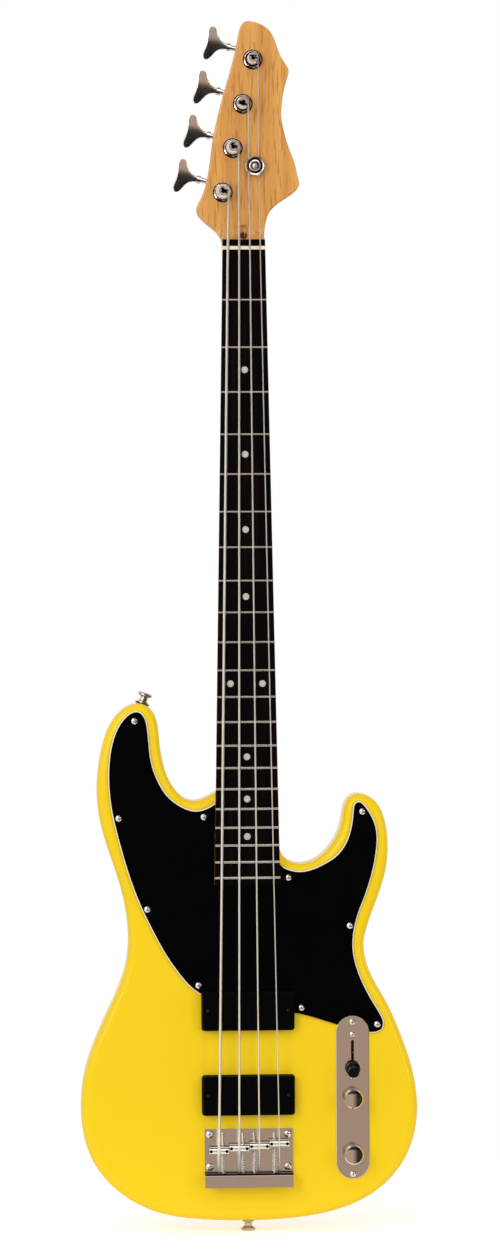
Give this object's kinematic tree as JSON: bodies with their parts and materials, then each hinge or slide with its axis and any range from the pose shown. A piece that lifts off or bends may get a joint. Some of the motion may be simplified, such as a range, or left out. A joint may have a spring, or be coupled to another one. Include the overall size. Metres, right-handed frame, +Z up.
{
  "type": "electric bass guitar",
  "caption": "Solid-body electric bass guitar with offset horns, bolted neck, in-line worm tuners, slab pickups, adjustable bridge saddles, control knobs and a blade switch.",
  "frame": {"origin": "where the end strap button's axis meets the body's lower end, at half the body's thickness", "axes": "+Z up the neck to the headstock, -Y out of the front, +X to the side of the output jack"},
  "size_m": [0.3272, 0.0686, 1.1743],
  "materials": {
    "body_paint": "high gloss yellow lacquer over wood",
    "neck_wood": "tinted gloss maple",
    "board_wood": "oiled dark rosewood",
    "fret_wire": "polished",
    "pearl": "pearl",
    "nut_bone": "satin cream",
    "steel": "plain",
    "chrome": "polished",
    "screw_steel": "polished",
    "knob_chrome": "polished",
    "saddle_steel": "polished",
    "string_steel": "round wound",
    "guard_black": "gloss black with a light layer at the bevel",
    "pickup_black": "satin black",
    "copper": "enamelled wire",
    "magnet": "ground",
    "tip_black": "gloss black",
    "lead_black": "sleeved lead",
    "capacitor_film": "dipped film",
    "felt": "black felt"
  },
  "bodies": {
    "instrument": {"body": "body_paint", "neck": "neck_wood", "fingerboard": "board_wood", "frets": "fret_wire", "inlay_dots": "pearl", "truss_rod": "steel", "string_e": "string_steel", "string_a": "string_steel", "string_d": "string_steel", "string_g": "string_steel", "nut": "nut_bone", "string_guide": "chrome", "string_guide_screw": "screw_steel", "tuner_housings": "chrome", "tuner_bushings": "chrome", "tuner_screws": "screw_steel", "pickguard": "guard_black", "pickguard_screws": "screw_steel", "neck_pickup_cover": "pickup_black", "bridge_pickup_cover": "pickup_black", "pickup_coils": "copper", "pickup_magnets": "magnet", "pickup_screws": "screw_steel", "bridge_plate": "chrome", "bridge_screws": "screw_steel", "intonation_springs": "steel", "control_plate": "chrome", "control_plate_screws": "screw_steel", "potentiometers": "steel", "switch_frame": "steel", "switch_screws": "screw_steel", "jack_cup": "chrome", "output_jack": "steel", "wiring": "lead_black", "capacitor": "capacitor_film", "neck_plate": "chrome", "neck_screws": "screw_steel", "strap_buttons": "chrome", "strap_felts": "felt", "strap_button_screws": "screw_steel"},
    "key_e": {"tuner_e_key": "chrome"},
    "post_e": {"tuner_e_post": "chrome"},
    "saddle_e": {"saddle_e": "saddle_steel"},
    "intonation_e": {"intonation_screw_e": "screw_steel"},
    "key_a": {"tuner_a_key": "chrome"},
    "post_a": {"tuner_a_post": "chrome"},
    "saddle_a": {"saddle_a": "saddle_steel"},
    "intonation_a": {"intonation_screw_a": "screw_steel"},
    "key_d": {"tuner_d_key": "chrome"},
    "post_d": {"tuner_d_post": "chrome"},
    "saddle_d": {"saddle_d": "saddle_steel"},
    "intonation_d": {"intonation_screw_d": "screw_steel"},
    "key_g": {"tuner_g_key": "chrome"},
    "post_g": {"tuner_g_post": "chrome"},
    "saddle_g": {"saddle_g": "saddle_steel"},
    "intonation_g": {"intonation_screw_g": "screw_steel"},
    "volume_control": {"volume_knob": "knob_chrome"},
    "tone_control": {"tone_knob": "knob_chrome"},
    "blade": {"switch_lever": "steel", "switch_tip": "tip_black"}
  },
  "joints": [
    {"name": "tuner_key_e", "type": "hinge", "parent": "instrument", "child": "key_e", "pos_m": [-0.01789, -0.00165, 1.00529], "axis": [-0.9744, 0, 0.225], "continuous": true},
    {"name": "tuner_post_e", "type": "hinge", "parent": "instrument", "child": "post_e", "pos_m": [-0.0198, -0.02025, 0.99701], "axis": [0, -1, 0], "continuous": true},
    {"name": "intonation_turn_e", "type": "hinge", "parent": "instrument", "child": "intonation_e", "pos_m": [-0.02495, -0.02725, 0.04601], "axis": [0, 0, 1], "range_deg": [-1802, 1802]},
    {"name": "saddle_slide_e", "type": "slide", "parent": "instrument", "child": "saddle_e", "axis": [0, 0, 1], "range_m": [-0.0035, 0.0035], "deforming": ["string_e", "intonation_springs"]},
    {"name": "tuner_key_a", "type": "hinge", "parent": "instrument", "child": "key_a", "pos_m": [-0.00801, -0.00165, 1.04806], "axis": [-0.9744, 0, 0.225], "continuous": true},
    {"name": "tuner_post_a", "type": "hinge", "parent": "instrument", "child": "post_a", "pos_m": [-0.00992, -0.02025, 1.03978], "axis": [0, -1, 0], "continuous": true},
    {"name": "intonation_turn_a", "type": "hinge", "parent": "instrument", "child": "intonation_a", "pos_m": [-0.00545, -0.02725, 0.04601], "axis": [0, 0, 1], "range_deg": [-1802, 1802]},
    {"name": "saddle_slide_a", "type": "slide", "parent": "instrument", "child": "saddle_a", "axis": [0, 0, 1], "range_m": [-0.0035, 0.0035], "deforming": ["string_a"]},
    {"name": "tuner_key_d", "type": "hinge", "parent": "instrument", "child": "key_d", "pos_m": [0.00186, -0.00165, 1.09084], "axis": [-0.9744, 0, 0.225], "continuous": true},
    {"name": "tuner_post_d", "type": "hinge", "parent": "instrument", "child": "post_d", "pos_m": [-0.00005, -0.02025, 1.08256], "axis": [0, -1, 0], "continuous": true},
    {"name": "intonation_turn_d", "type": "hinge", "parent": "instrument", "child": "intonation_d", "pos_m": [0.00545, -0.02725, 0.04601], "axis": [0, 0, 1], "range_deg": [-1802, 1802]},
    {"name": "saddle_slide_d", "type": "slide", "parent": "instrument", "child": "saddle_d", "axis": [0, 0, 1], "range_m": [-0.0035, 0.0035], "deforming": ["string_d"]},
    {"name": "tuner_key_g", "type": "hinge", "parent": "instrument", "child": "key_g", "pos_m": [0.01174, -0.00165, 1.13361], "axis": [-0.9744, 0, 0.225], "continuous": true},
    {"name": "tuner_post_g", "type": "hinge", "parent": "instrument", "child": "post_g", "pos_m": [0.00983, -0.02025, 1.12533], "axis": [0, -1, 0], "continuous": true},
    {"name": "intonation_turn_g", "type": "hinge", "parent": "instrument", "child": "intonation_g", "pos_m": [0.02495, -0.02725, 0.04601], "axis": [0, 0, 1], "range_deg": [-362, 1802]},
    {"name": "saddle_slide_g", "type": "slide", "parent": "instrument", "child": "saddle_g", "axis": [0, 0, 1], "range_m": [-0.0035, 0.0007], "deforming": ["string_g"]},
    {"name": "volume_turn", "type": "hinge", "parent": "instrument", "child": "volume_control", "pos_m": [0.1012, -0.02225, 0.11961], "axis": [0, -1, 0], "range_deg": [-150, 150]},
    {"name": "tone_turn", "type": "hinge", "parent": "instrument", "child": "tone_control", "pos_m": [0.1012, -0.02225, 0.06541], "axis": [0, -1, 0], "range_deg": [-150, 150]},
    {"name": "blade_swing", "type": "hinge", "parent": "instrument", "child": "blade", "pos_m": [0.1012, 0.00175, 0.16021], "axis": [-1, 0, 0], "range_deg": [0, 41]}
  ],
  "couplings": [
    {"joint": "tuner_post_e", "follows": "tuner_key_e", "ratio": -0.05},
    {"joint": "intonation_turn_e", "follows": "saddle_slide_e", "rad_per_m": -8976},
    {"joint": "tuner_post_a", "follows": "tuner_key_a", "ratio": -0.05},
    {"joint": "intonation_turn_a", "follows": "saddle_slide_a", "rad_per_m": -8976},
    {"joint": "tuner_post_d", "follows": "tuner_key_d", "ratio": -0.05},
    {"joint": "intonation_turn_d", "follows": "saddle_slide_d", "rad_per_m": -8976},
    {"joint": "tuner_post_g", "follows": "tuner_key_g", "ratio": -0.05},
    {"joint": "intonation_turn_g", "follows": "saddle_slide_g", "rad_per_m": -8976}
  ]
}
